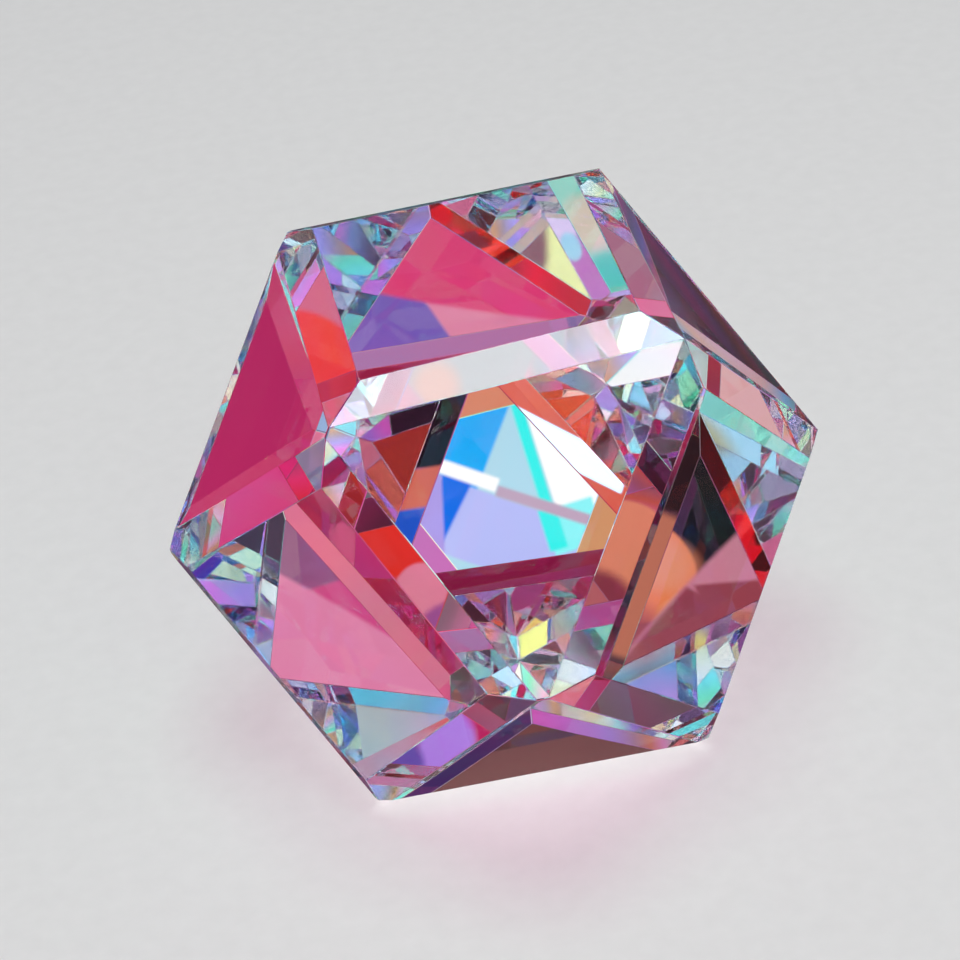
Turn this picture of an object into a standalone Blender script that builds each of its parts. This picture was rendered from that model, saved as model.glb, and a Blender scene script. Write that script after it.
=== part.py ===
"""A rainbow-coated clear gemstone in a cuboctahedron cut, standing on one of its square facets.

The stone is cut the way a gem cutter works: one rough block, and one flat cut after another.
Six square facets face up, down and to four sides. Eight triangular facets face the corners of
a cube: four look up (the crown) and four look down (the keel). A narrow flat bevel runs along
each of the 24 edges where a square meets a triangle, so there are 38 facets in all.

Units are metres and +Z is up. Directions are an azimuth, in degrees from +X towards +Y, and an
elevation, in degrees above the horizontal.
"""

import math

import bmesh
import bpy
from mathutils import Vector

MM = 0.001

# Driving dimensions.
ACROSS_SQUARES = 25.0 * MM
ACROSS_TRIANGLES = 27.0 * MM
BEVEL_CUT = 0.5 * MM
DEEP_BEVEL_CUT = 0.8 * MM
SLIM_BEVEL_CUT = 0.35 * MM
ROUGH_BLOCK = 60.0 * MM

# Two facets at rest: straight up and straight down.
UP = 90.0
DOWN = -90.0

# A triangular facet leans out from the vertical by this much, as the corner of a cube does.
TRIANGLE_ELEVATION = math.degrees(math.atan(math.sqrt(0.5)))

# The compass of the cut. The front is -Y.
TRIANGLE_AZIMUTHS = {"front": -90.0, "right": 0.0, "back": 90.0, "left": 180.0}
SIDE_AZIMUTHS = {"right": -45.0, "back_right": 45.0, "back_left": 135.0, "left": -135.0}

# The stone was cut by hand, so some facets are off their ideal place. Each entry is a turn in
# azimuth and in elevation, in degrees, and how much further out the facet lies.
HAND_CUT = {
    "table": (180.0, -2.7, 0.20 * MM),
    "base": (0.0, 0.0, 0.15 * MM),
    "side_right": (-1.0, 0.0, -0.20 * MM),
    "side_left": (-4.0, -1.5, 0.15 * MM),
    "side_back_right": (0.5, 0.0, 0.15 * MM),
    "side_back_left": (-3.0, -1.5, -0.15 * MM),
    "crown_front": (0.5, 1.0, 0.0),
    "crown_left": (1.0, 1.0, 0.0),
    "crown_right": (1.5, -1.0, 0.20 * MM),
    "crown_back": (0.0, 0.0, 0.60 * MM),
    "keel_front": (-0.5, 0.0, -0.10 * MM),
    "keel_left": (0.0, 0.0, 0.30 * MM),
    "keel_back": (-4.0, -1.0, 1.80 * MM),
}

# The edges that were bevelled deeper than the rest, and the one facet whose bevels are slimmer.
DEEP_BEVELS = {("base", "keel_front"), ("side_back_left", "crown_left")}
SLIM_BEVELS_AROUND = "keel_back"

# A cut that comes this close to a corner already made goes through that corner.
SAME_POINT = 0.0001 * MM


def clear_scene():
    """Remove whatever objects the file opened with."""
    for item in list(bpy.data.objects):
        bpy.data.objects.remove(item, do_unlink=True)


def direction(azimuth, elevation):
    """Return the unit vector that points to an azimuth and an elevation in degrees."""
    turn = math.radians(azimuth)
    rise = math.radians(elevation)
    level = math.cos(rise)
    return Vector((level * math.cos(turn), level * math.sin(turn), math.sin(rise)))


def hand_cut(name, azimuth, elevation, distance):
    """Return a facet's plane, as a unit normal and a distance from the middle of the stone."""
    turn, rise, further = HAND_CUT.get(name, (0.0, 0.0, 0.0))
    return direction(azimuth + turn, elevation + rise), distance + further


def square_facets():
    """Return the six square facets by name: the table, the base and four sides."""
    reach = ACROSS_SQUARES / 2.0
    facets = {
        "table": hand_cut("table", 0.0, UP, reach),
        "base": hand_cut("base", 0.0, DOWN, reach),
    }
    for place, azimuth in SIDE_AZIMUTHS.items():
        name = "side_" + place
        facets[name] = hand_cut(name, azimuth, 0.0, reach)
    return facets


def triangular_facets():
    """Return the eight triangular facets by name: four of the crown and four of the keel."""
    reach = ACROSS_TRIANGLES / 2.0
    facets = {}
    for place, azimuth in TRIANGLE_AZIMUTHS.items():
        for tier, elevation in (("crown_", TRIANGLE_ELEVATION), ("keel_", -TRIANGLE_ELEVATION)):
            name = tier + place
            facets[name] = hand_cut(name, azimuth, elevation, reach)
    return facets


def are_neighbours(square_normal, triangle_normal):
    """Say whether a square and a triangle share an edge: their normals are then 55 degrees apart."""
    return square_normal.dot(triangle_normal) > 0.5


def bevel_cut(square, triangle):
    """Return how far below an edge its bevel lies."""
    if (square, triangle) in DEEP_BEVELS:
        return DEEP_BEVEL_CUT
    if triangle == SLIM_BEVELS_AROUND:
        return SLIM_BEVEL_CUT
    return BEVEL_CUT


def bevel_facets(squares, triangles):
    """Return the bevel along every edge between a square and a triangle.

    The bevel's normal lies halfway between the two facets' normals. The edge itself is where
    both planes meet, and the bevel cuts that far below it.
    """
    facets = {}
    for square, (square_normal, square_distance) in squares.items():
        for triangle, (triangle_normal, triangle_distance) in triangles.items():
            if not are_neighbours(square_normal, triangle_normal):
                continue
            halfway = square_normal + triangle_normal
            edge_distance = (square_distance + triangle_distance) / halfway.length
            cut = bevel_cut(square, triangle)
            facets[square + "_" + triangle] = (halfway.normalized(), edge_distance - cut)
    return facets


def cut_facet(stone, normal, distance):
    """Saw off everything beyond a plane, and close the stone with one flat face there."""
    everything = stone.verts[:] + stone.edges[:] + stone.faces[:]
    bmesh.ops.bisect_plane(
        stone,
        geom=everything,
        dist=SAME_POINT,
        plane_co=normal * distance,
        plane_no=normal,
        clear_outer=True,
    )
    rim = [edge for edge in stone.edges if edge.is_boundary]
    bmesh.ops.holes_fill(stone, edges=rim, sides=0)


def stand_on_base(stone):
    """Move the stone so that its base is at height zero, with the middle of its bounds above the origin."""
    places = [vertex.co for vertex in stone.verts]
    lowest = Vector([min(place[axis] for place in places) for axis in range(3)])
    highest = Vector([max(place[axis] for place in places) for axis in range(3)])
    middle = (lowest + highest) / 2.0
    bmesh.ops.translate(stone, verts=stone.verts[:], vec=(-middle.x, -middle.y, -lowest.z))


def cut_stone():
    """Cut the rough block to the finished stone and return its mesh."""
    stone = bmesh.new()
    bmesh.ops.create_cube(stone, size=ROUGH_BLOCK)
    squares = square_facets()
    triangles = triangular_facets()
    bevels = bevel_facets(squares, triangles)
    for tier in (squares, triangles, bevels):
        for normal, distance in tier.values():
            cut_facet(stone, normal, distance)
    stand_on_base(stone)
    bmesh.ops.recalc_face_normals(stone, faces=stone.faces[:])
    mesh = bpy.data.meshes.new("gemstone")
    stone.to_mesh(mesh)
    stone.free()
    return mesh


def clear_stone_material():
    """Return the stone's finish: polished clear crystal with a faint violet-rose body colour."""
    material = bpy.data.materials.new("coated_clear_stone")
    material.use_nodes = True
    shader = material.node_tree.nodes["Principled BSDF"]
    shader.inputs["Base Color"].default_value = (0.86, 0.62, 0.86, 1.0)
    shader.inputs["Roughness"].default_value = 0.0
    shader.inputs["Metallic"].default_value = 0.0
    shader.inputs["IOR"].default_value = 1.62
    shader.inputs["Transmission Weight"].default_value = 1.0
    return material


def add_gemstone(collection):
    """Add the finished stone to its collection."""
    mesh = cut_stone()
    mesh.materials.append(clear_stone_material())
    stone = bpy.data.objects.new("gemstone", mesh)
    collection.objects.link(stone)
    return stone


def main():
    clear_scene()
    collection = bpy.data.collections.new("cuboctahedron_gemstone")
    bpy.context.scene.collection.children.link(collection)
    add_gemstone(collection)


main()
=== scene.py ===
# %% [markdown]
# # A clear gemstone with a rainbow coating
#
# The stone is a cuboctahedron: six square facets and eight triangles, with a thin flat bevel
# along every edge between them. The stone itself is clear. All its colour comes from a coating
# thinner than a soap film on the facets at the back, which we look at through the clear facets
# at the front. Each front facet is a window, and what we see in it depends on where the light
# goes after it has crossed the stone.
#
# So this lesson has four parts: take over the exact shape, polish its edges, give the back
# facets a coating whose colour changes with the angle of the light, and put the right bright
# and dark things around the stone, because a clear stone shows little but its surroundings.

# %% Open the frame
import math

import bmesh
import bpy
import numpy as np
from mathutils import Matrix, Vector


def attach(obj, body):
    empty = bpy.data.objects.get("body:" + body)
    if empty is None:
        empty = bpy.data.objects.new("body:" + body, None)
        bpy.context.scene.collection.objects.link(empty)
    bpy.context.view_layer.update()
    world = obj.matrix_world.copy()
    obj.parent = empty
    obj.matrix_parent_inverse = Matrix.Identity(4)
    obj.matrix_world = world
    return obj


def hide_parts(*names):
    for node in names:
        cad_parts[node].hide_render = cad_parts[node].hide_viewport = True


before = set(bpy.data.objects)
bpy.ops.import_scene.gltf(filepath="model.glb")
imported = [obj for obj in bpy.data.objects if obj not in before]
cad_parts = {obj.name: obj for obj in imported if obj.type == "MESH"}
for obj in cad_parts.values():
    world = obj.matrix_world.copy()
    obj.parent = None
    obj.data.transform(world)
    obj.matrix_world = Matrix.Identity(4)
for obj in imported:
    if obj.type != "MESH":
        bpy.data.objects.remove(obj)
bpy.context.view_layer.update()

MM = 0.001
scene = bpy.context.scene

# %% [markdown]
# ## Directions
#
# Facets, lamps and cards are all placed by direction. Two angles are enough: an azimuth that
# turns from +X towards +Y, and an elevation above the horizontal. The front of the stone is -Y,
# so the front is azimuth -90.

# %% A direction from two angles
# The facets were cut around this point, a little off the middle of the finished stone's box.
MIDDLE_OF_CUT = Vector((-0.08, -0.28, 12.65)) * MM


def direction(azimuth, elevation):
    """Unit vector: the elevation gives its height, and the azimuth turns the rest around Z."""
    turn = math.radians(azimuth)
    rise = math.radians(elevation)
    level = math.cos(rise)
    return Vector((level * math.cos(turn), level * math.sin(turn), math.sin(rise)))


print("the front is", tuple(round(value, 3) for value in direction(-90.0, 0.0)))

# %% [markdown]
# ## Camera
#
# The camera has a long lens, 110 mm, and stands 15 cm away. It looks down at the stone by 36
# degrees, from a few degrees left of the front, and is held slightly turned, so the stone seems
# to lean. Blender's camera looks along its own -Z, so the matrix below holds the camera's right,
# up and backward directions as its columns.

# %% The camera
CAMERA_AZIMUTH = -96.5
CAMERA_ELEVATION = 35.8
CAMERA_ROLL = 6.74
CAMERA_DISTANCE = 146.5 * MM
CAMERA_LENS = 110.5
AIM_LEFT = 0.80 * MM
AIM_UP = 0.605 * MM
NEAREST_SEEN = 5.0 * MM


def camera_axes(azimuth, elevation, roll):
    """Right, up and backward directions of a camera that looks at the stone from a direction.

    Level right is at right angles to the vertical and to the backward direction. The roll turns
    right and up together around the backward direction.
    """
    backward = direction(azimuth, elevation)
    level_right = Vector((0.0, 0.0, 1.0)).cross(backward).normalized()
    level_up = backward.cross(level_right)
    lean = math.radians(roll)
    right = level_right * math.cos(lean) - level_up * math.sin(lean)
    up = level_up * math.cos(lean) + level_right * math.sin(lean)
    return right, up, backward


right, up, backward = camera_axes(CAMERA_AZIMUTH, CAMERA_ELEVATION, CAMERA_ROLL)
aim = MIDDLE_OF_CUT - right * AIM_LEFT + up * AIM_UP
place = aim + backward * CAMERA_DISTANCE
camera = bpy.data.objects.new("camera", bpy.data.cameras.new("camera"))
camera.data.lens = CAMERA_LENS
camera.data.clip_start = NEAREST_SEEN
camera.matrix_world = Matrix(
    (
        (right.x, up.x, backward.x, place.x),
        (right.y, up.y, backward.y, place.y),
        (right.z, up.z, backward.z, place.z),
        (0.0, 0.0, 0.0, 1.0),
    )
)
scene.collection.objects.link(camera)
scene.camera = camera
print("camera stands at", tuple(round(value / MM, 1) for value in place), "mm")

# %% [markdown]
# ## The stone's shape
#
# A gem's shape is only flat planes, so there is nothing to sculpt: the solid model already has
# every facet in its place. Its mesh arrives as loose triangles, one set per facet. Merging the
# doubled corners and dissolving the lines inside each flat facet gives back the cutter's view
# of the stone, with one face for each facet.

# %% Take over the facets
SAME_CORNER = 0.01 * MM
SAME_PLANE = math.radians(2.0)


def whole_facets(solid):
    """Return the solid's mesh with doubled corners merged and one face for each flat facet."""
    stone = bmesh.new()
    stone.from_mesh(solid.data)
    stone.transform(solid.matrix_world)
    bmesh.ops.remove_doubles(stone, verts=stone.verts[:], dist=SAME_CORNER)
    bmesh.ops.dissolve_limit(
        stone, angle_limit=SAME_PLANE, verts=stone.verts[:], edges=stone.edges[:]
    )
    stone.normal_update()
    return stone


stone = whole_facets(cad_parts["gemstone"])
print(len(stone.faces), "facets")

# %% [markdown]
# ## A name for each facet
#
# The coating differs from facet to facet, so each face needs its name. In a perfect
# cuboctahedron we know where each facet points. The real stone was cut by hand and its facets
# are a few degrees off, but each is still nearest to its own ideal direction, so the largest
# dot product finds the name.

# %% Name the facets
TRIANGLE_ELEVATION = math.degrees(math.atan(math.sqrt(0.5)))
SQUARES = {
    "table": direction(0.0, 90.0),
    "base": direction(0.0, -90.0),
    "side_right": direction(-45.0, 0.0),
    "side_back_right": direction(45.0, 0.0),
    "side_back_left": direction(135.0, 0.0),
    "side_left": direction(-135.0, 0.0),
}
TRIANGLES = {}
for name, azimuth in {"front": -90.0, "right": 0.0, "back": 90.0, "left": 180.0}.items():
    TRIANGLES["crown_" + name] = direction(azimuth, TRIANGLE_ELEVATION)
    TRIANGLES["keel_" + name] = direction(azimuth, -TRIANGLE_ELEVATION)

# A square and a triangle that touch point 55 degrees apart, a cosine of 0.58. For any other
# pair it is negative. Each touching pair shares an edge, and so a bevel that points halfway.
TOUCHING = 0.5
IDEAL = {**SQUARES, **TRIANGLES}
for square, square_direction in SQUARES.items():
    for triangle, triangle_direction in TRIANGLES.items():
        if square_direction.dot(triangle_direction) > TOUCHING:
            halfway = (square_direction + triangle_direction).normalized()
            IDEAL[square + "_" + triangle] = halfway

ideal_names = list(IDEAL)
ideal_directions = np.array([IDEAL[name] for name in ideal_names])
facet_directions = np.array([face.normal for face in stone.faces])
nearest = (facet_directions @ ideal_directions.T).argmax(axis=1)
facet_names = [ideal_names[index] for index in nearest]
assert sorted(facet_names) == sorted(ideal_names), "each facet needs a name of its own"
print(len(set(facet_names)), "named facets")

# %% [markdown]
# ## Which facets are coated
#
# The coater lays the stone on its front and coats only what then lies on top: the back. We
# sort the facets into five kinds. The front is clear. The broad triangle low at the back, which
# most of the windows look at, took the coat square on. The slim bevels around it stood aslant,
# the three square facets beside it steeper, and the rest of the back steeper still, so the film
# on each kind has its own thickness and its own colours.

# %% Sort the facets by their coat
CLEAR, BROAD, RIM, FLANK, REST = range(5)
RIM_FACETS = {"base_keel_back", "side_back_right_keel_back", "side_back_left_keel_back"}
FLANK_FACETS = {"base", "side_back_right", "side_back_left"}
STEEP_FACETS = {"keel_left", "keel_right"}


def coat_of(name):
    """Return the kind of coat that a facet has, from its name."""
    if name == "keel_back":
        return BROAD
    if name in RIM_FACETS:
        return RIM
    if name in FLANK_FACETS:
        return FLANK
    if "back" in name or "base" in name or name in STEEP_FACETS:
        return REST
    return CLEAR


for face, name in zip(stone.faces, facet_names):
    face.material_index = coat_of(name)

kinds = [coat_of(name) for name in facet_names]
print("facets of each kind:", [kinds.count(kind) for kind in (CLEAR, BROAD, RIM, FLANK, REST)])

# %% [markdown]
# ## Polished edges
#
# No real edge is a line. Polishing rounds each one off, over less than a tenth of a millimetre,
# and that thread of surface faces many ways at once, so it always finds some light to show. It
# is what makes cut edges glint. A Bevel modifier would do for most models, but where three
# facets almost meet in a point it has no room. A cutter's way always works on a stone without
# hollows: we saw off each edge with a few more planes, all of which touch the same thin round
# bar. Edges too short to be seen are left.

# %% Round the edges
EDGE_RADIUS = 0.16 * MM
FLATS = (-0.6, 0.0, 0.6)
SHORTEST_EDGE = 0.3 * MM
ON_THE_PLANE = 1e-6 * MM


def edge_flats(edge):
    """Return planes that touch a thin bar lying inside an edge, as pairs of a point and a normal.

    The bar touches both facets. Its middle lies below the edge by its radius divided by the
    cosine of half the angle between the facets' normals, and each plane is the bar's radius
    away from that middle.
    """
    first, second = (face.normal for face in edge.link_faces)
    half = first.angle(second) / 2.0
    outward = (first + second).normalized()
    across = (first - second).normalized()
    top = (edge.verts[0].co + edge.verts[1].co) / 2.0
    middle = top - outward * (EDGE_RADIUS / math.cos(half))
    for lean in FLATS:
        normal = outward * math.cos(half * lean) + across * math.sin(half * lean)
        yield middle + normal * EDGE_RADIUS, normal.copy()


def saw_off(stone, point, normal):
    """Remove everything beyond a plane and close the stone with one flat face there."""
    everything = stone.verts[:] + stone.edges[:] + stone.faces[:]
    bmesh.ops.bisect_plane(
        stone, geom=everything, dist=ON_THE_PLANE, plane_co=point, plane_no=normal, clear_outer=True
    )
    rim = [edge for edge in stone.edges if edge.is_boundary]
    bmesh.ops.holes_fill(stone, edges=rim, sides=0)


long_edges = [edge for edge in stone.edges if edge.calc_length() > SHORTEST_EDGE]
flats = [flat for edge in long_edges for flat in edge_flats(edge)]
for point, normal in flats:
    saw_off(stone, point, normal)
bmesh.ops.recalc_face_normals(stone, faces=stone.faces[:])
mesh = bpy.data.meshes.new("cut_stone")
stone.to_mesh(mesh)
stone.free()
cut_stone = bpy.data.objects.new("cut_stone", mesh)
scene.collection.objects.link(cut_stone)
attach(cut_stone, "root")
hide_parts("gemstone")
print(len(flats), "planes,", len(mesh.polygons), "faces with the rounded edges")

# %% [markdown]
# ## Shader maths as Python
#
# A material is a graph of nodes, and graphs of arithmetic are hard to read. The small class
# below wraps one socket, so that `angle + shift` or `1 - mask` adds the Math node for us. Every
# other node comes from one method that takes the node's type, its settings and its sockets.

# %% A socket that can be used in expressions
class Wire:
    """A node's output. Arithmetic on it adds Math nodes to the same tree."""

    def __init__(self, tree, socket):
        self.tree = tree
        self.socket = socket

    def math(self, operation, *values):
        """Add one Math node that works on these values in this order, and return its result."""
        node = self.tree.nodes.new("ShaderNodeMath")
        node.operation = operation
        for socket, value in zip(node.inputs, values):
            feed(self.tree, socket, value)
        return Wire(self.tree, node.outputs[0])

    def __add__(self, other):
        return self.math("ADD", self, other)

    def __sub__(self, other):
        return self.math("SUBTRACT", self, other)

    def __mul__(self, other):
        return self.math("MULTIPLY", self, other)

    def __truediv__(self, other):
        return self.math("DIVIDE", self, other)

    def __rsub__(self, other):
        return self.math("SUBTRACT", other, self)

    __radd__ = __add__
    __rmul__ = __mul__


def feed(tree, socket, value):
    """Link a socket to a wire, or set it to a plain value."""
    if isinstance(value, Wire):
        tree.links.new(value.socket, socket)
    else:
        socket.default_value = value


# %% [markdown]
# A colour ramp has a list of stops instead of plain settings, so the method treats the setting
# `stops` in its own way. Everything else is an attribute of the node, and is set before the
# sockets, because some settings change which sockets a node has.
#
# Most sockets are found by their names. The Mix node has a set of sockets for each kind of data,
# all with the same names, so its colour sockets are found by their places in the list. A few
# short methods wrap the nodes that are used most.

# %% A workbench for one node tree
MIX_SHARE = 0
MIX_FIRST_COLOUR = 6
MIX_SECOND_COLOUR = 7
MIX_COLOUR_OUT = 2


class Workbench:
    """Adds nodes to one material's or world's tree."""

    def __init__(self, owner):
        owner.use_nodes = True
        self.tree = owner.node_tree
        self.tree.nodes.clear()

    def node(self, kind, settings=None, sockets=None, output=0):
        """Add a node, set it up, feed its sockets and return one of its outputs as a wire."""
        node = self.tree.nodes.new(kind)
        for name, value in (settings or {}).items():
            if name == "stops":
                self.set_stops(node.color_ramp.elements, value)
            else:
                setattr(node, name, value)
        for name, value in (sockets or {}).items():
            feed(self.tree, node.inputs[name], value)
        return Wire(self.tree, node.outputs[output]) if node.outputs else node

    @staticmethod
    def set_stops(elements, stops):
        """Give a ramp these stops, each a position from 0 to 1 and a colour."""
        while len(elements) < len(stops):
            elements.new(1.0)
        for element, (position, colour) in zip(elements, stops):
            element.position = position
            element.color = (*colour, 1.0)

    def mix_colour(self, share, first, second):
        """Return a colour that goes from the first to the second as the share goes from 0 to 1."""
        sockets = {MIX_SHARE: share, MIX_FIRST_COLOUR: first, MIX_SECOND_COLOUR: second}
        return self.node("ShaderNodeMix", {"data_type": "RGBA"}, sockets, MIX_COLOUR_OUT)

    def multiply_colours(self, first, second):
        """Return the product of two colours, as when light passes through both."""
        settings = {"data_type": "RGBA", "blend_type": "MULTIPLY"}
        sockets = {MIX_SHARE: 1.0, MIX_FIRST_COLOUR: first, MIX_SECOND_COLOUR: second}
        return self.node("ShaderNodeMix", settings, sockets, MIX_COLOUR_OUT)

    def mix_shaders(self, share, first, second):
        """Return a shader that goes from the first to the second as the share goes from 0 to 1."""
        return self.node("ShaderNodeMixShader", None, {0: share, 1: first, 2: second})

    def dot(self, first, second):
        """Return the dot product of two directions."""
        sockets = {0: first, 1: second}
        return self.node("ShaderNodeVectorMath", {"operation": "DOT_PRODUCT"}, sockets, "Value")

    def smooth_step(self, value, start, end):
        """Return 0 at the start value and 1 at the end value, with a soft step between."""
        sockets = {"Value": value, "From Min": start, "From Max": end}
        return self.node("ShaderNodeMapRange", {"interpolation_type": "SMOOTHSTEP"}, sockets)


print("the workbench is ready")

# %% [markdown]
# ## The paints
#
# Interference makes only a few families of colour: azure and cyan where the film sends blue
# light back, and orange, red and magenta where that blue is missing from the light that went
# through. Skin, wood and night add a few quieter ones. These are all the colours that the coats
# and the things around the stone use, as linear red, green and blue.

# %% The paints
PAINTS = {
    # Whites and creams.
    "white": (1.0, 1.0, 1.0),
    "cream": (1.0, 0.80, 0.66),
    "peach": (0.90, 0.73, 0.60),
    "blossom": (1.00, 0.71, 0.60),
    "vanilla": (0.95, 0.92, 0.55),
    # Blues, which the film sends back.
    "azure": (0.00, 0.42, 1.0),
    "sky": (0.39, 0.70, 1.0),
    "ice": (0.50, 0.84, 1.00),
    "cyan": (0.25, 0.95, 0.97),
    "turquoise": (0.03, 0.95, 0.90),
    "sea": (0.05, 0.30, 0.50),
    "cornflower": (0.10, 0.30, 0.80),
    "cobalt": (0.00, 0.18, 0.95),
    "denim": (0.22, 0.40, 0.70),
    # Violets.
    "periwinkle": (0.50, 0.55, 1.00),
    "lavender": (0.48, 0.39, 0.94),
    "lilac": (0.80, 0.60, 0.80),
    "orchid": (0.90, 0.25, 0.75),
    "violet": (0.20, 0.07, 0.68),
    "purple": (0.34, 0.04, 0.32),
    "mauve": (0.45, 0.32, 0.38),
    # Reds, which are left when the blue is gone.
    "magenta": (0.70, 0.10, 0.45),
    "crimson": (0.85, 0.03, 0.20),
    "ruby": (0.88, 0.16, 0.25),
    "rose": (0.85, 0.20, 0.35),
    "blush": (0.90, 0.50, 0.70),
    "red": (0.90, 0.03, 0.02),
    "scarlet": (0.95, 0.12, 0.05),
    "orange": (0.93, 0.25, 0.12),
    # Greens and yellows.
    "mint": (0.22, 0.87, 0.52),
    "straw": (0.80, 1.00, 0.25),
    "wheat": (0.95, 0.92, 0.38),
    "pear": (0.95, 0.90, 0.22),
    "amber": (0.85, 0.60, 0.09),
    # Skin, wood and night. Bark and maroon also paint the shade on the fingers.
    "skin": (0.95, 0.42, 0.38),
    "tan": (0.75, 0.35, 0.16),
    "wood": (0.50, 0.20, 0.22),
    "rust": (0.42, 0.22, 0.09),
    "bark": (0.30, 0.14, 0.09),
    "maroon": (0.16, 0.03, 0.07),
    "soot": (0.10, 0.05, 0.07),
    "black": (0.002, 0.001, 0.003),
}
print(len(PAINTS), "paints")

# %% [markdown]
# ## What a coat does at each angle
#
# A thin film sends back the colours whose waves fit its thickness, and lets the others through.
# Light that crosses the film aslant meets it as if it were thinner, so both colours change with
# the angle. A film doesn't have one colour, it has two short scales of them. Each coat below is
# three scales against the angle between the light and the facet's normal, in degrees: the
# colour that goes through, the colour that comes back, and how much comes back. Past 38 degrees
# nothing leaves topaz at all, and the film only colours a share of what is turned back. One more
# paint faintly tints the light that comes in through the coat from outside.

# %% The coats
WIDEST_ANGLE = 90.0
COATS = {
    BROAD: {
        "name": "broad_coat",
        "through": [(0, "lilac"), (15, "lilac"), (22, "orchid"), (32, "lilac"), (38, "wood")],
        "back": [(0, "white"), (4, "white"), (8, "wood"), (12, "rose"), (18, "wood"),
                 (24, "maroon"), (37, "maroon"), (47, "sea"), (62, "cornflower"),
                 (72, "purple"), (77, "scarlet")],
        "share": [(0, 0.95), (12, 0.75), (17, 0.15), (28, 0.05), (33, 0.25), (37, 0.85),
                  (42, 0.3), (52, 0.2), (60, 0.5), (67, 0.15), (72, 0.9)],
        "outside": "azure",
    },
    RIM: {
        "name": "rim_coat",
        "through": [(0, "lilac"), (10, "blush"), (17, "red"), (22, "rose"), (27, "lilac"),
                    (32, "orchid"), (38, "blush")],
        "back": [(0, "orange"), (7, "orange"), (12, "crimson"), (20, "crimson"),
                 (27, "maroon"), (35, "maroon"), (39, "red"), (42, "red"),
                 (44, "cornflower"), (57, "lavender"), (67, "rose")],
        "share": [(0, 0.05), (10, 0.45), (17, 0.8), (25, 0.1), (29, 0.1), (32, 0.6),
                  (37, 0.3), (40, 0.95), (42, 0.95), (45, 0.3), (48, 0.15), (60, 0.5),
                  (72, 0.3), (90, 0.7)],
        "outside": "violet",
    },
    FLANK: {
        "name": "flank_coat",
        "through": [(0, "peach"), (38, "peach")],
        "back": [(0, "rose"), (25, "crimson"), (32, "magenta"), (38, "lilac"),
                 (48, "white"), (57, "cyan")],
        "share": [(0, 0.15), (27, 0.3), (33, 0.1), (50, 0.05), (57, 0.2), (65, 0.08),
                  (77, 0.25)],
        "outside": "cyan",
    },
    REST: {
        "name": "rest_coat",
        "through": [(0, "blush"), (20, "white"), (38, "white")],
        "back": [(0, "mint"), (38, "white")],
        "share": [(0, 0.45), (22, 0.4), (27, 0.05)],
        "outside": "mint",
    },
}
print([coat["name"] for coat in COATS.values()])

# %% [markdown]
# ## The clear stone
#
# Topaz bends light a little more than window glass does: its index is 1.62. With transmission
# at full and no roughness, the shader follows each ray through the stone, splits it at every
# facet, and turns it all back where it strikes too flat to leave.
#
# One thing a ray tracer does badly is to find a small lamp through glass, so the shadow would
# be black. For shadow rays alone the stone is a tinted sheet, which lets the lamps through.

# %% The clear facets
TOPAZ_INDEX = 1.62
SHADOW_TINT = (0.84, 0.68, 0.76, 1.0)
WHITE = (1.0, 1.0, 1.0, 1.0)


def clear_stone(bench, colour):
    """Return a clear topaz shader: smooth, all transmission, with this colour on its surface."""
    sockets = {
        "Base Color": colour,
        "Roughness": 0.0,
        "IOR": TOPAZ_INDEX,
        "Transmission Weight": 1.0,
    }
    return bench.node("ShaderNodeBsdfPrincipled", None, sockets)


def finish_stone(bench, surface):
    """Send a shader to the output, with the tinted sheet in its place for shadow rays."""
    shadow = bench.node("ShaderNodeLightPath", output="Is Shadow Ray")
    sheet = bench.node("ShaderNodeBsdfTransparent", None, {"Color": SHADOW_TINT})
    both = bench.mix_shaders(shadow, surface, sheet)
    bench.node("ShaderNodeOutputMaterial", None, {"Surface": both})


clear = bpy.data.materials.new("clear_facet")
bench = Workbench(clear)
finish_stone(bench, clear_stone(bench, WHITE))
mesh.materials.append(clear)
print(clear.name, len(bench.tree.nodes), "nodes")

# %% [markdown]
# ## The coated facets
#
# The Layer Weight node tells how far a surface is turned away from the ray that strikes it, as
# one minus the cosine of the angle, so the arccosine gives the angle back. It is divided by 90
# to fit a ramp. No film is perfectly even, so a soft noise in the stone's own coordinates shifts
# the angle by up to a degree and a half from place to place, like the bands of an oil slick.
#
# The surface is a mix of two shaders: the clear stone, tinted by what goes through, and a
# mirror, tinted by what comes back. Backfacing is 1 where a ray strikes from inside the stone,
# where the film is seen through topaz and looks its strongest. From the outside the mirror is
# weaker, a sheen over the facet.
#
# The glass shader takes the square root of its base colour each time light crosses the surface,
# so that going in and out again gives the full colour. Light crosses this coat only once, so
# the colour is multiplied by itself first.

# %% The coated facets
FILM_PATCH = 11.0 * MM
FILM_UNEVENNESS = 3.0
SHEEN_OUTSIDE = 0.45
PALENESS_OUTSIDE = 0.7


def striking_angle(bench):
    """Return the angle between the ray and the normal in degrees, shifted a little by the film."""
    facing = bench.node("ShaderNodeLayerWeight", None, {"Blend": 0.5}, "Facing")
    angle = facing.math("ARCCOSINE", 1.0 - facing) * math.degrees(1.0)
    places = bench.node("ShaderNodeTexCoord", output="Object")
    sockets = {"Vector": places, "Scale": 1.0 / FILM_PATCH, "Detail": 2.0}
    patches = bench.node("ShaderNodeTexNoise", None, sockets)
    return angle + (patches - 0.5) * FILM_UNEVENNESS


def scale_of_paints(bench, angle, stops):
    """Return a ramp of paints against an angle in degrees."""
    marks = [(degrees / WIDEST_ANGLE, PAINTS[paint]) for degrees, paint in stops]
    return bench.node("ShaderNodeValToRGB", {"stops": marks}, {"Fac": angle / WIDEST_ANGLE})


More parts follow.
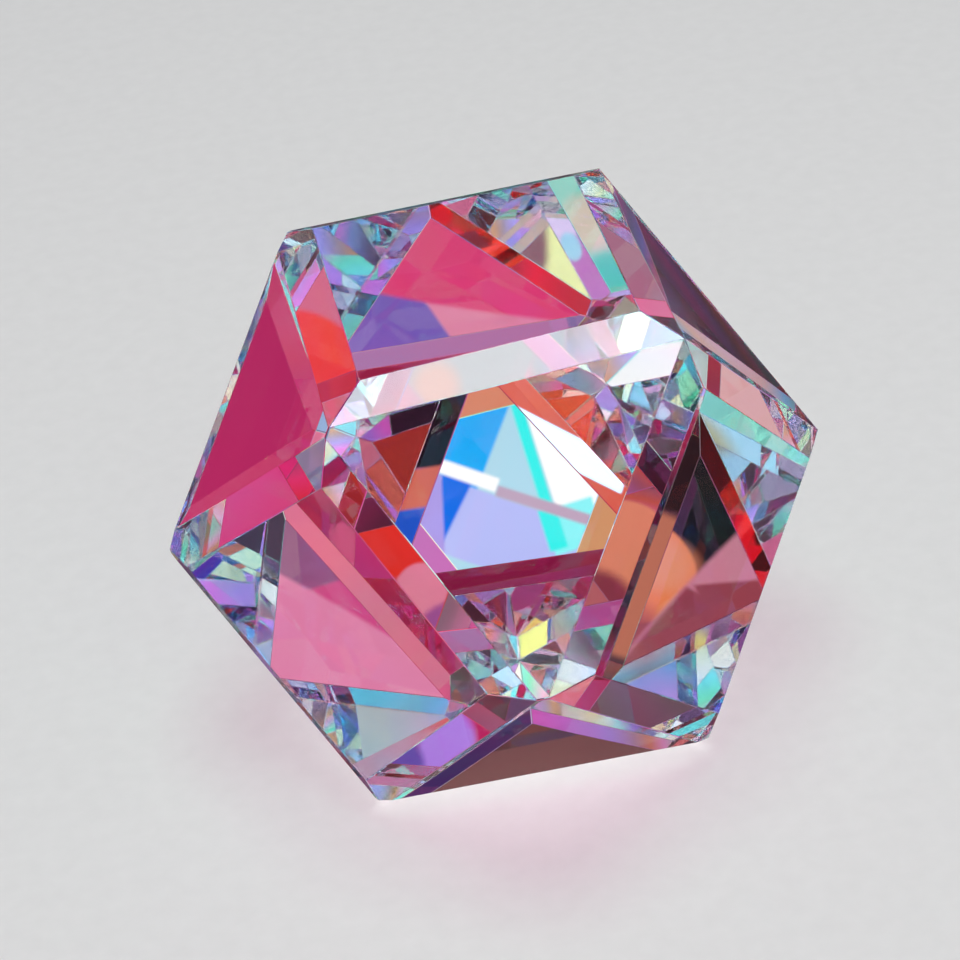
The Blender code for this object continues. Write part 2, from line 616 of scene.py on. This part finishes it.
def scale_of_numbers(bench, angle, stops):
    """Return a ramp of plain numbers against an angle in degrees."""
    marks = [(degrees / WIDEST_ANGLE, (value, value, value)) for degrees, value in stops]
    return bench.node("ShaderNodeValToRGB", {"stops": marks}, {"Fac": angle / WIDEST_ANGLE})


def coated_stone(coat):
    """Return the material of a facet with this coat."""
    material = bpy.data.materials.new(coat["name"])
    bench = Workbench(material)
    angle = striking_angle(bench)
    inside = bench.node("ShaderNodeNewGeometry", output="Backfacing")
    through = scale_of_paints(bench, angle, coat["through"])
    outside = (*PAINTS[coat["outside"]], 1.0)
    pale_outside = bench.mix_colour(PALENESS_OUTSIDE, outside, WHITE)
    tint = bench.mix_colour(inside, pale_outside, through)
    glass = clear_stone(bench, bench.multiply_colours(tint, tint))
    back = scale_of_paints(bench, angle, coat["back"])
    sockets = {"Base Color": back, "Metallic": 1.0, "Roughness": 0.0}
    mirror = bench.node("ShaderNodeBsdfPrincipled", None, sockets)
    share = scale_of_numbers(bench, angle, coat["share"])
    share = share * (inside * (1.0 - SHEEN_OUTSIDE) + SHEEN_OUTSIDE)
    finish_stone(bench, bench.mix_shaders(share, glass, mirror))
    return material


for kind in (BROAD, RIM, FLANK, REST):
    mesh.materials.append(coated_stone(COATS[kind]))
print([material.name for material in mesh.materials])

# %% [markdown]
# ## Floor
#
# The stone stands on its base facet on a pale matt floor. The floor is hidden from rays that
# leave the stone or are turned back inside it: they see the surroundings built further down, as
# if the stone were held up in the middle of the room.

# %% The floor
FLOOR_REACH = 2.0
GRAINS_PER_METRE = 900.0
PAPER_SHADES = (0.71, 0.70, 0.69, 1.0), (0.77, 0.76, 0.75, 1.0)
floor_mesh = bpy.data.meshes.new("floor")
signs = [(-1.0, -1.0), (1.0, -1.0), (1.0, 1.0), (-1.0, 1.0)]
corners = [(x * FLOOR_REACH, y * FLOOR_REACH, 0.0) for x, y in signs]
floor_mesh.from_pydata(corners, [], [(0, 1, 2, 3)])
floor = bpy.data.objects.new("floor", floor_mesh)
scene.collection.objects.link(floor)
floor.visible_transmission = False
floor.visible_glossy = False

paper = bpy.data.materials.new("pale_paper")
bench = Workbench(paper)
places = bench.node("ShaderNodeTexCoord", output="Object")
sockets = {"Vector": places, "Scale": GRAINS_PER_METRE, "Detail": 3.0}
grain = bench.node("ShaderNodeTexNoise", None, sockets)
shade = bench.mix_colour(grain, *PAPER_SHADES)
matt = bench.node("ShaderNodeBsdfPrincipled", None, {"Base Color": shade, "Roughness": 0.7})
bench.node("ShaderNodeOutputMaterial", None, {"Surface": matt})
floor_mesh.materials.append(paper)
print("floor reaches", FLOOR_REACH, "m each way")

# %% [markdown]
# ## Lamps
#
# One large soft lamp hangs straight above, and the long bevel between the table and the front
# triangle mirrors it to the camera as a pale band. A second, weak one stands at the front.
# Neither is seen through the stone, because small bright things seen through glass only give
# bright specks of noise. The cards below take their place there.

# %% The lamps
LAMP_DISTANCE = 400.0 * MM


def soft_lamp(name, azimuth, elevation, across, power):
    """Add a round soft lamp in a direction from the stone, turned to face it."""
    lamp = bpy.data.lights.new(name, "AREA")
    lamp.shape = "DISK"
    lamp.size = across
    lamp.energy = power
    holder = bpy.data.objects.new(name, lamp)
    towards = direction(azimuth, elevation)
    holder.location = MIDDLE_OF_CUT + towards * LAMP_DISTANCE
    holder.rotation_mode = "QUATERNION"
    holder.rotation_quaternion = towards.to_track_quat("Z", "Y")
    holder.visible_camera = False
    holder.visible_transmission = False
    scene.collection.objects.link(holder)


soft_lamp("lamp_above", azimuth=-90.0, elevation=88.0, across=220.0 * MM, power=1.0)
soft_lamp("lamp_front", azimuth=-70.0, elevation=50.0, across=160.0 * MM, power=0.15)
print("two lamps")

# %% [markdown]
# ## What the stone looks out on
#
# A clear stone has no colour to light: it shows its surroundings. Each window of this one looks
# out past its back facets in one narrow direction, so what matters is which colour lies where.
# Such stones are shown between finger tips, in a dark room with bright things in front, and
# surroundings of that kind are what the three cells below set up, from the outside inwards.
#
# The outermost layer is a crumpled foil: a soft noise over all directions, sent through a ramp
# of paints. It feeds the hundreds of tiny facet images near the rim of the stone, where each
# one has to differ from the next for the rim to sparkle.

# %% The foil
FOIL_SCALE = 7.0
FOIL_GLOW = 1.2
FOIL = [(0.34, "soot"), (0.39, "denim"), (0.43, "orchid"), (0.455, "lavender"), (0.48, "mauve"),
        (0.50, "tan"), (0.52, "blush"), (0.545, "mint"), (0.57, "cyan"), (0.60, "vanilla"),
        (0.64, "white"), (0.70, "cyan"), (0.76, "violet")]
foil = [(place, tuple(FOIL_GLOW * channel for channel in PAINTS[paint])) for place, paint in FOIL]
print("the foil has", len(foil), "colours")

# %% [markdown]
# ## Round cards
#
# Over the foil lie round cards, each placed by the direction in which the stone sees it, with
# angles in degrees. A wide soft one colours everything that a group of facets can see; a small
# one with a sharp edge makes the outline of a finger tip in one window. Later ones cover
# earlier ones.

# %% The cards
CARDS = [
    # name, azimuth, elevation, half its angle, soft edge, paint, brightness
    # Below and to the right: warm light, as from skin, with a few cold spots in it.
    ("warm_below", 26, -42, 28, 12, "crimson", 1.0),
    ("mauve_right", 51, -5, 11, 4, "mauve", 0.85),
    ("sky_right", 37, -6, 5, 4, "cyan", 1.0),
    ("magenta_right", 48, -23, 9, 6, "orchid", 0.9),
    ("scarlet_right", 42, -29, 4, 2, "scarlet", 0.8),
    ("blue_right", 58, -37, 7, 4, "denim", 0.9),
    ("pink_below", 33.0, -59.6, 1.3, 0.3, "skin", 0.9),
    ("red_below", 31.5, -61.4, 1.2, 0.15, "red", 1.25),
    ("teal_below", 52, -52, 7, 5, "cyan", 1.1),
    ("vanilla_below", 69, -74, 7, 2, "vanilla", 1.0),
    ("dusk_below", 70, -56, 6, 4, "violet", 0.4),
    # Behind: darkness, with a few coloured papers in it.
    ("dark_behind", 103, -18, 27, 10, "soot", 1.0),
    ("wine_behind", 87, -18, 6, 4, "crimson", 0.35),
    ("pink_behind", 64, -22, 7, 5, "rose", 1.1),
    ("night_behind", 70, -26.5, 1.6, 0.5, "black", 1.0),
    ("embers_low", 80, -37, 8, 5, "crimson", 0.5),
    ("night_low", 86, -35.5, 2.2, 1, "black", 1.0),
    ("orange_low", 106, -45, 6, 3, "orange", 1.1),
    ("orange_far", 119, -39, 5, 3, "orange", 1.0),
    ("dark_far", 126, -33, 4, 2, "soot", 0.5),
    ("dark_far_low", 133, -40, 3, 1, "soot", 0.6),
    ("red_left", 132, -22, 7, 3, "orange", 1.1),
    ("pale_blue_low", 82, -55, 6, 5, "periwinkle", 0.75),
    ("white_low", 113, -57, 6, 5, "white", 1.1),
    ("vanilla_far", 140, -58, 6, 4, "vanilla", 1.4),
    ("deep_blue", 100, -82, 5, 4, "azure", 1.0),
    ("pale_back", 68, -1, 5, 4, "white", 1.0),
    ("wine_back", 66, 9, 6, 4, "crimson", 0.8),
    ("pink_back", 97, -7, 6, 4, "blush", 1.1),
    ("olive_back", 87, 31, 8, 5, "bark", 1.6),
    ("violet_back", 68, 14, 2.5, 1, "violet", 0.35),
    ("pale_strip", 65.3, 6.2, 0.55, 0.2, "lavender", 1.2),
    ("purple_strip", 66.3, 5.9, 0.6, 0.2, "violet", 0.8),
    # All around: spots that only the sparkling corners of the stone see.
    ("ice_low", 97, -58, 3, 1, "ice", 1.1),
    ("ice_high_right", 12, 34, 4, 1, "ice", 1.1),
    ("white_high", 42, 59, 12, 6, "white", 1.3),
    ("orange_high_right", -33, 55, 4, 1, "orange", 1.2),
    ("skin_far_left", 179, 3, 4, 1, "skin", 1.1),
    ("orange_high", 42, 58.5, 4, 1, "orange", 0.8),
    ("skin_right", -12, 3, 4, 1, "skin", 0.95),
    ("dark_high_left", 156, 16, 3.5, 1, "soot", 0.6),
    ("coral_high", -54, 45, 7, 4, "rose", 0.9),
    ("sky_high", -128, 56, 6, 4, "sky", 1.4),
    ("yellow_low", -88, -50, 2.5, 0.5, "straw", 1.6),
    ("lavender_low", 117, -69, 4, 2, "lavender", 1.0),
    ("lavender_right", -20, -4, 5, 2, "lavender", 1.0),
    ("lavender_high", 25, 37, 5, 2, "lavender", 1.0),
    ("violet_low_front", -60, -47, 8, 5, "orchid", 0.5),
    ("cyan_low", -106, -51, 4, 1, "cyan", 1.2),
    ("denim_low_front", -154, -39, 6, 4, "violet", 0.8),
    # Left: cold light, with dark and warm spots in it.
    ("cyan_left", -160, -30, 10, 6, "cyan", 1.2),
    ("white_left", -170, -18, 6, 5, "white", 1.1),
    ("dark_left", -178, -35, 7, 4, "soot", 1.0),
    ("white_glint_left", -166.7, -30.2, 0.5, 0.5, "white", 1.0),
    ("cyan_glint_left", -166.3, -31.3, 0.5, 0.3, "turquoise", 1.0),
    ("skin_left", -176, -28, 3, 1, "skin", 1.0),
    ("dusk_far_left", -175.5, 5, 2.5, 1, "denim", 0.4),
    ("violet_far_left", 171, 11, 2.5, 1, "violet", 0.6),
    ("vanilla_left", 141, -25, 3, 1, "vanilla", 1.1),
    ("cyan_low_left", -139, -32, 4, 1, "cyan", 1.2),
    ("vanilla_far_left", 166, -56, 4, 1, "vanilla", 0.6),
    ("denim_far_left", 172, -45, 4, 1, "denim", 0.75),
    ("wine_far_left", 156, -53, 3, 1, "wood", 0.6),
    ("peach_far_left", 144, -68, 3, 1, "peach", 0.6),
    ("ember_left", -158, 40, 8, 5, "scarlet", 0.75),
    # Front: bright things all around the camera.
    ("cream_front", -104, 41, 6, 4, "white", 0.9),
    ("rose_front", -127, 38, 7, 5, "scarlet", 0.8),
    ("ember_front", -120.5, 43.0, 2.0, 0.8, "tan", 0.95),
    ("low_front", -94, 21, 8, 4, "mint", 1.35),
    ("low_blue", -97.0, 20.8, 1.0, 0.8, "ice", 0.9),
    ("low_straw", -95.3, 21.0, 0.4, 0.4, "straw", 1.0),
    ("low_cyan", -91.0, 21.3, 1.0, 0.8, "cyan", 1.0),
    ("skin_front", -78, 45, 5, 3, "skin", 1.2),
    ("night_low_right", -82, 31.5, 3, 1, "soot", 0.6),
    ("orchid_front", -73.0, 44.3, 1.8, 0.6, "orchid", 0.7),
    ("blush_front", -104, 57, 2.5, 1, "blush", 0.75),
    ("orchid_low_front", -115, 39.2, 1.3, 0.4, "orchid", 0.8),
    ("lilac_glint_front", -116.4, 39.1, 0.35, 0.2, "lilac", 1.3),
    ("ice_glint_front", -115.9, 39.1, 0.2, 0.1, "ice", 1.0),
    ("pale_front", -94, 57, 7, 5, "cream", 0.8),
    ("cyan_front", -113, 54, 7, 5, "cyan", 0.9),
    ("orange_front", -82, 51, 5, 4, "orange", 0.9),
    ("dark_front_right", -74, 21, 8, 5, "soot", 1.0),
    ("dark_front_left", -108, 15, 6, 4, "soot", 0.6),
    ("night_front", -101.0, 17.0, 3.2, 1.0, "black", 1.0),
    ("sea_front", -101, 22.5, 1.6, 0.5, "sea", 0.8),
    ("lilac_front", -109, 14, 2.5, 1, "lilac", 0.75),
    ("orange_low_front", -94.0, 18.0, 1.2, 0.4, "orange", 0.85),
    ("mint_front", -97, 6, 7, 5, "mint", 0.75),
    ("ice_front", -100, 10.5, 2.2, 1, "ice", 1.05),
    ("vanilla_front", -98.8, 11.2, 0.8, 0.4, "vanilla", 0.55),
    ("blush_under", -98, -23, 4, 1, "blush", 0.9),
    ("night_under", -96, -3, 3.2, 1, "soot", 0.6),
    # The left bevel: a glowing finger tip between shadow and daylight.
    ("tip_shadow", -77.0, 46.2, 1.6, 0.3, "maroon", 1.5),
    ("tip_glow", -76.9, 44.3, 0.75, 0.1, "scarlet", 1.35),
    ("tip_light", -76.7, 43.2, 0.5, 0.1, "white", 1.3),
    ("tip_lavender", -76.4, 42.2, 0.6, 0.2, "lavender", 1.2),
    ("tip_cyan", -76.1, 41.0, 0.7, 0.2, "cyan", 1.3),
    # The right bevel: night above, a warm tip below.
    ("bevel_night", -115.4, 44.6, 1.4, 0.1, "black", 1.0),
    ("bevel_tip", -115.8, 41.9, 1.0, 0.1, "wheat", 1.4),
    # A darker brown below the warm tip.
    ("bevel_rust", -116.4, 40.7, 0.8, 0.3, "wood", 0.8),
    # What the back triangle mirrors straight back to us.
    ("pale_middle", -96.5, 36.3, 4.5, 2.0, "ice", 1.0),
    # What the right window sees: night above, a warm finger tip below.
    ("window_night", 120.4, -9.0, 3.2, 0.2, "black", 1.0),
    ("finger", 122.4, -10.25, 1.12, 0.08, "amber", 1.25),
    ("finger_tip", 121.8, -10.4, 0.45, 0.5, "pear", 1.1),
    ("strip_night", 105.2, -20.9, 1.7, 0.1, "black", 1.0),
    ("strip_finger", 107.1, -23.6, 1.45, 0.2, "tan", 1.05),
    ("finger_root", 123.2, -11.6, 0.8, 0.8, "rust", 1.0),
]
print(len(CARDS), "round cards")

# %% [markdown]
# ## Straight panels
#
# The large front window looks at the broad triangle at the back, which acts as a flat mirror
# and shows it a small patch of the room in front. What is seen there has straight edges: panes
# of azure, white and lavender with thin bars between them. A panel is a rectangle, given by
# half its length and half its width in degrees. With no lean its length stands upright, and a
# positive lean tips its top to the left. Some other windows need straight edges too.

# %% The panels
PANEL_EDGE = 0.1
PANELS = [
    # name, azimuth, elevation, half its length, half its width, lean, paint, brightness
    # The right window: a second finger across the foot of the first, in shade further down.
    ("second_finger", 120.55, -12.0, 3.0, 1.5, 58, "vanilla", 0.8),
    ("finger_shade", 120.5, -12.55, 1.2, 1.5, 97, "bark", 1.2),
    # Painted shade over the other end of the second finger.
    ("finger_joint", 122.55, -13.23, 2.0, 1.48, 58, "bark", 1.2),
    # The left window: a rose shade above, a pale finger below.
    ("rose_shade", 49.6, -10.0, 3.0, 1.5, 72, "rose", 1.0),
    ("pale_finger", 49.7, -10.7, 3.0, 1.5, -63, "blossom", 1.0),
    # The border to the left of the front window: night, an orange block and a blue one.
    ("night_strip", 62.3, -41.9, 1.2, 2.0, 0, "black", 1.0),
    ("orange_strip", 62.9, -43.5, 0.42, 1.4, -10, "orange", 1.0),
    ("blue_strip", 63.0, -44.7, 0.80, 2.0, -10, "cobalt", 0.9),
    # The border to its right: an edge so bright that it turns white, inside the orange.
    ("white_edge", 105.84, -44.75, 1.3, 0.35, -46, "cyan", 6.0),
    # The right bevel: an orange edge beside the night.
    ("bevel_edge", -116.1, 43.3, 1.0, 0.25, -20, "amber", 1.6),
    # The top window: dusk at the left, a rose sky over everything.
    ("dusk_corner", 76.3, -74.8, 1.6, 1.2, 48, "denim", 1.0),
    ("rose_sky", 70.0, -72.0, 4.0, 1.54, 90, "ruby", 1.05),
    # The front window: panes of azure, white and lavender, with streaks between them.
    ("white_pane", -94.4, 36.9, 1.3, 0.95, 10, "white", 1.2),
    ("azure_pane", -97.5, 37.4, 1.2, 0.68, -27, "azure", 1.1),
    ("cyan_streak", -95.8, 37.0, 1.1, 0.11, 10, "turquoise", 1.1),
    ("lavender_pane", -97.15, 35.6, 1.9, 0.70, 65, "periwinkle", 1.1),
    ("blue_wedge", -98.05, 36.1, 0.70, 0.29, -32, "cobalt", 1.0),
    ("lilac_pane", -98.55, 36.0, 0.77, 0.39, -3, "lavender", 1.0),
    ("cyan_foot", -95.0, 35.45, 0.45, 0.5, 10, "cyan", 1.15),
    ("cyan_toe", -95.5, 35.45, 0.42, 0.18, 10, "turquoise", 1.1),
    ("white_bar", -97.5, 36.72, 0.72, 0.14, 65, "white", 1.2),
    ("grey_bar", -95.6, 35.9, 1.0, 0.11, 65, "lilac", 0.75),
]
print(len(PANELS), "panels")

# %% [markdown]
# ## Masks for directions
#
# A mask is 1 where a ray's direction falls on a card and 0 elsewhere. The dot product of two
# unit vectors is the cosine of the angle between them, so comparing it with two cosines gives
# a round card with a soft edge. The dot product with a vector at right angles to a panel's
# middle is the sine of the distance from a line through it. Two such bands, one for each side
# of the panel, multiply to a rectangle. They cross again behind the stone, so a wide round mask
# keeps only the right one of the two.

# %% The masks
def card_mask(bench, sight, azimuth, elevation, half, soft):
    """Return 1 inside a round card: the dot product falls with the angle from its middle."""
    nearness = bench.dot(sight, tuple(direction(azimuth, elevation)))
    inner = math.cos(math.radians(max(half - soft / 2.0, 0.0)))
    outer = math.cos(math.radians(half + soft / 2.0))
    return bench.smooth_step(nearness, outer, inner)


def band_mask(bench, sight, across, half, soft):
    """Return 1 near the plane at right angles to a direction, where the dot product is near 0."""
    offset = bench.dot(sight, tuple(across))
    inner = math.sin(math.radians(half - soft / 2.0))
    outer = math.sin(math.radians(half + soft / 2.0))
    return bench.smooth_step(offset.math("ABSOLUTE", offset), outer, inner)


def panel_mask(bench, sight, azimuth, elevation, length, width, lean):
    """Return 1 inside a rectangle: a band of its width, crossed by a band of its length."""
    middle = direction(azimuth, elevation)
    level = Vector((0.0, 0.0, 1.0)).cross(middle).normalized()
    rise = middle.cross(level)
    turn = math.radians(lean)
    across = level * math.cos(turn) + rise * math.sin(turn)
    along = rise * math.cos(turn) - level * math.sin(turn)
    narrow = band_mask(bench, sight, across, width, PANEL_EDGE)
    wide = band_mask(bench, sight, along, length, PANEL_EDGE)
    near = card_mask(bench, sight, azimuth, elevation, 2.0 * (length + width), 1.0)
    return narrow * wide * near


print("a panel's edge is", PANEL_EDGE, "degrees soft")

# %% [markdown]
# ## The world
#
# Foil, cards and panels are painted on the world in that order, and only rays that leave the
# stone see them: the Light Path node tells those apart. The floor and the camera see a plain
# pale daylight. Rays mirrored by the outside of the stone see a dim room, because a pale one
# would lay a grey veil over the dark windows.

# %% The world
DAYLIGHT = {"Color": (0.90, 0.95, 1.0, 1.0), "Strength": 0.35}
DIM_ROOM = {"Color": (0.5, 0.45, 0.6, 1.0), "Strength": 0.12}


def lit(paint, brightness):
    """Return a paint at a brightness."""
    return (*(channel * brightness for channel in PAINTS[paint]), 1.0)


world = bpy.data.worlds.new("surroundings")
scene.world = world
bench = Workbench(world)
sight = bench.node("ShaderNodeTexCoord", output="Generated")
sockets = {"Vector": sight, "Scale": FOIL_SCALE, "Detail": 1.0}
creases = bench.node("ShaderNodeTexNoise", None, sockets)
view = bench.node("ShaderNodeValToRGB", {"stops": foil}, {"Fac": creases})
for name, azimuth, elevation, half, soft, paint, brightness in CARDS:
    mask = card_mask(bench, sight, azimuth, elevation, half, soft)
    view = bench.mix_colour(mask, view, lit(paint, brightness))
for name, azimuth, elevation, length, width, lean, paint, brightness in PANELS:
    mask = panel_mask(bench, sight, azimuth, elevation, length, width, lean)
    view = bench.mix_colour(mask, view, lit(paint, brightness))
daylight = bench.node("ShaderNodeBackground", None, DAYLIGHT)
dim_room = bench.node("ShaderNodeBackground", None, DIM_ROOM)
painted = bench.node("ShaderNodeBackground", None, {"Color": view, "Strength": 1.0})
mirrored = bench.node("ShaderNodeLightPath", output="Is Glossy Ray")
leaves_stone = bench.node("ShaderNodeLightPath", output="Is Transmission Ray")
plain = bench.mix_shaders(mirrored, daylight, dim_room)
seen = bench.mix_shaders(leaves_stone, plain, painted)
bench.node("ShaderNodeOutputWorld", None, {"Surface": seen})
print(world.name, len(bench.tree.nodes), "nodes")

# %% [markdown]
# ## How far to follow the light
#
# In the corners of the stone a ray can be turned back twenty times before it leaves. If the
# tracer gives up sooner, those corners are black, so it is allowed more steps than usual. The
# plain colour transform keeps the coating's colours as strong as they are.

# %% Light steps and colours
LIGHT_STEPS = 32
scene.cycles.max_bounces = LIGHT_STEPS
scene.cycles.glossy_bounces = LIGHT_STEPS
scene.cycles.transmission_bounces = LIGHT_STEPS
scene.view_settings.view_transform = "Standard"
print("rays are followed for", LIGHT_STEPS, "steps")
